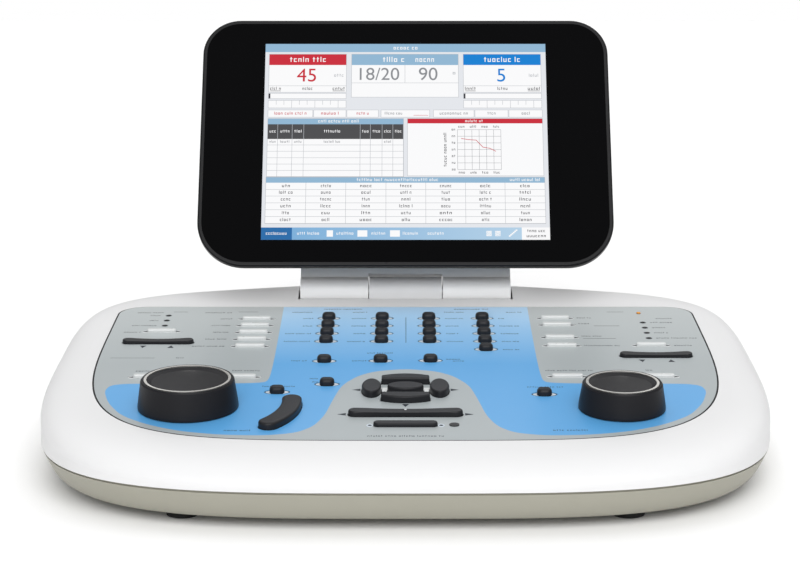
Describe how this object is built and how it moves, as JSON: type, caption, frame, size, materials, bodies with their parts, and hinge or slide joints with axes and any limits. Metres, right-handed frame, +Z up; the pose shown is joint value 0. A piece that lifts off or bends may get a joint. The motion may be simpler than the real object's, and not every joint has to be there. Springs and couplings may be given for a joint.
{
  "type": "audiometer",
  "caption": "Desktop audiometer: low sloping console with two dials, rows of keys and rockers, arrow pad, and a touch display on a two-hinge arm.",
  "frame": {"origin": "on the table under the middle of the object's box", "axes": "+X to the user's right, +Y from the front edge to the rear, +Z up"},
  "size_m": [0.474, 0.4414, 0.2747],
  "materials": {
    "arm_grey": "satin light grey",
    "beige_cover": "fine moulded texture, warm grey",
    "bezel_black": "piano black",
    "black_part": "moulded",
    "board": "green solder mask",
    "dark_key": "soft satin",
    "dial_black": "satin",
    "dial_ring": "bright",
    "display_black": "fine moulded texture",
    "foot_rubber": "matt",
    "lens": "smoked lens",
    "light_key": "satin",
    "overlay_film": "satin printed film, blue and grey",
    "plate": "brushed",
    "screen": "lit liquid crystal screen",
    "screw_steel": "zinc plated",
    "seal": "matt",
    "silicone": "translucent matt",
    "socket_black": "moulded",
    "socket_metal": "nickel",
    "white_cover": "fine moulded texture, warm white"
  },
  "bodies": {
    "base": {"bottom_cover": "beige_cover", "top_cover": "white_cover", "control_overlay": "overlay_film", "panel_plate": "plate", "panel_seal": "seal", "keypad_mat": "silicone", "key_board": "board", "board_screws": "screw_steel", "dial_encoders": "socket_metal", "status_lenses": "lens", "talkback_microphone": "black_part", "rubber_feet": "foot_rubber", "housing_screws": "screw_steel", "main_board": "board", "monitor_speaker": "black_part", "connector_plate": "black_part", "jack_sockets": "socket_black", "power_inlet": "socket_black", "usb_ports": "socket_metal", "hinge_block": "white_cover", "hinge_pins": "screw_steel", "hinge_bracket": "screw_steel"},
    "arm": {"display_arm": "arm_grey", "arm_back_cover": "arm_grey", "tilt_pin": "screw_steel"},
    "display": {"display_frame": "bezel_black", "display_glass": "bezel_black", "lcd_panel": "screen", "display_back_cover": "display_black", "display_board": "board", "display_screws": "screw_steel", "tilt_bracket": "screw_steel"},
    "left_dial_turning": {"left_dial": "dial_black", "left_dial_ring": "dial_ring", "left_dial_shaft": "screw_steel"},
    "right_dial_turning": {"right_dial": "dial_black", "right_dial_ring": "dial_ring", "right_dial_shaft": "screw_steel"},
    "switch_paddle": {"power_switch": "black_part"},
    "key_column_1_moving": {"key_column_1": "dark_key"},
    "key_column_2_moving": {"key_column_2": "dark_key"},
    "key_column_3_moving": {"key_column_3": "dark_key"},
    "key_column_4_moving": {"key_column_4": "dark_key"},
    "select_keys_moving": {"select_keys": "dark_key"},
    "talk_over_key_moving": {"talk_over_key": "dark_key"},
    "left_tone_key_moving": {"left_tone_key": "dark_key"},
    "right_tone_key_moving": {"right_tone_key": "dark_key"},
    "left_slim_keys_moving": {"left_slim_keys": "light_key"},
    "right_slim_keys_moving": {"right_slim_keys": "light_key"},
    "talk_bar_moving": {"talk_bar": "dark_key"},
    "crescent_key_moving": {"crescent_key": "dark_key"},
    "pad_up_key_moving": {"pad_up_key": "dark_key"},
    "pad_down_key_moving": {"pad_down_key": "dark_key"},
    "pad_left_key_moving": {"pad_left_key": "dark_key"},
    "pad_right_key_moving": {"pad_right_key": "dark_key"},
    "pad_centre_key_moving": {"pad_centre_key": "dark_key"},
    "left_rocker_moving": {"left_rocker": "dark_key"},
    "right_rocker_moving": {"right_rocker": "dark_key"},
    "centre_rocker_moving": {"centre_rocker": "dark_key"}
  },
  "joints": [
    {"name": "arm_hinge", "type": "hinge", "parent": "base", "child": "arm", "pos_m": [0, 0.14534, 0.077], "axis": [1, 0, 0], "range_deg": [-25, 30]},
    {"name": "display_tilt", "type": "hinge", "parent": "arm", "child": "display", "pos_m": [0, 0.17924, 0.15458], "axis": [1, 0, 0], "range_deg": [-45, 6]},
    {"name": "left_dial_turn", "type": "hinge", "parent": "base", "child": "left_dial_turning", "pos_m": [-0.136, -0.11044, 0.04974], "axis": [0, -0.0941, 0.9956], "continuous": true},
    {"name": "right_dial_turn", "type": "hinge", "parent": "base", "child": "right_dial_turning", "pos_m": [0.1352, -0.11293, 0.04951], "axis": [0, -0.0941, 0.9956], "continuous": true},
    {"name": "key_column_1_press", "type": "slide", "parent": "base", "child": "key_column_1_moving", "axis": [0, 0.0941, -0.9956], "range_m": [0, 0.0012], "stiffness_N_per_m": 400},
    {"name": "key_column_2_press", "type": "slide", "parent": "base", "child": "key_column_2_moving", "axis": [0, 0.0941, -0.9956], "range_m": [0, 0.0012], "stiffness_N_per_m": 400},
    {"name": "key_column_3_press", "type": "slide", "parent": "base", "child": "key_column_3_moving", "axis": [0, 0.0941, -0.9956], "range_m": [0, 0.0012], "stiffness_N_per_m": 400},
    {"name": "key_column_4_press", "type": "slide", "parent": "base", "child": "key_column_4_moving", "axis": [0, 0.0941, -0.9956], "range_m": [0, 0.0012], "stiffness_N_per_m": 400},
    {"name": "select_keys_press", "type": "slide", "parent": "base", "child": "select_keys_moving", "axis": [0, 0.0941, -0.9956], "range_m": [0, 0.0012], "stiffness_N_per_m": 400},
    {"name": "talk_over_key_press", "type": "slide", "parent": "base", "child": "talk_over_key_moving", "axis": [0, 0.0941, -0.9956], "range_m": [0, 0.0012], "stiffness_N_per_m": 400},
    {"name": "left_tone_key_press", "type": "slide", "parent": "base", "child": "left_tone_key_moving", "axis": [0, 0.0941, -0.9956], "range_m": [0, 0.0012], "stiffness_N_per_m": 400},
    {"name": "right_tone_key_press", "type": "slide", "parent": "base", "child": "right_tone_key_moving", "axis": [0, 0.0941, -0.9956], "range_m": [0, 0.0012], "stiffness_N_per_m": 400},
    {"name": "left_slim_keys_press", "type": "slide", "parent": "base", "child": "left_slim_keys_moving", "axis": [0, 0.0941, -0.9956], "range_m": [0, 0.0012], "stiffness_N_per_m": 400},
    {"name": "right_slim_keys_press", "type": "slide", "parent": "base", "child": "right_slim_keys_moving", "axis": [0, 0.0941, -0.9956], "range_m": [0, 0.0012], "stiffness_N_per_m": 400},
    {"name": "talk_bar_press", "type": "slide", "parent": "base", "child": "talk_bar_moving", "axis": [0, 0.0941, -0.9956], "range_m": [0, 0.0012], "stiffness_N_per_m": 400},
    {"name": "crescent_key_press", "type": "slide", "parent": "base", "child": "crescent_key_moving", "axis": [0, 0.0941, -0.9956], "range_m": [0, 0.0012], "stiffness_N_per_m": 400},
    {"name": "pad_up_key_press", "type": "slide", "parent": "base", "child": "pad_up_key_moving", "axis": [0, 0.0941, -0.9956], "range_m": [0, 0.0012], "stiffness_N_per_m": 400},
    {"name": "pad_down_key_press", "type": "slide", "parent": "base", "child": "pad_down_key_moving", "axis": [0, 0.0941, -0.9956], "range_m": [0, 0.0012], "stiffness_N_per_m": 400},
    {"name": "pad_left_key_press", "type": "slide", "parent": "base", "child": "pad_left_key_moving", "axis": [0, 0.0941, -0.9956], "range_m": [0, 0.0012], "stiffness_N_per_m": 400},
    {"name": "pad_right_key_press", "type": "slide", "parent": "base", "child": "pad_right_key_moving", "axis": [0, 0.0941, -0.9956], "range_m": [0, 0.0012], "stiffness_N_per_m": 400},
    {"name": "pad_centre_key_press", "type": "slide", "parent": "base", "child": "pad_centre_key_moving", "axis": [0, 0.0941, -0.9956], "range_m": [0, 0.0012], "stiffness_N_per_m": 400},
    {"name": "left_rocker_tilt", "type": "hinge", "parent": "base", "child": "left_rocker_moving", "pos_m": [-0.1708, 0.02677, 0.0593], "axis": [0, 0.9956, 0.0941], "range_deg": [-2.2, 2.2], "stiffness_Nm_per_rad": 0.3},
    {"name": "right_rocker_tilt", "type": "hinge", "parent": "base", "child": "right_rocker_moving", "pos_m": [0.1694, -0.00409, 0.05638], "axis": [0, 0.9956, 0.0941], "range_deg": [-2.2, 2.2], "stiffness_Nm_per_rad": 0.3},
    {"name": "centre_rocker_tilt", "type": "hinge", "parent": "base", "child": "centre_rocker_moving", "pos_m": [0, -0.12465, 0.04498], "axis": [0, 0.9956, 0.0941], "range_deg": [-1.6, 1.6], "stiffness_Nm_per_rad": 0.3},
    {"name": "power_switch_tilt", "type": "hinge", "parent": "base", "child": "switch_paddle", "pos_m": [-0.084, 0.18284, 0.046], "axis": [1, 0, 0], "range_deg": [0, 10]}
  ]
}
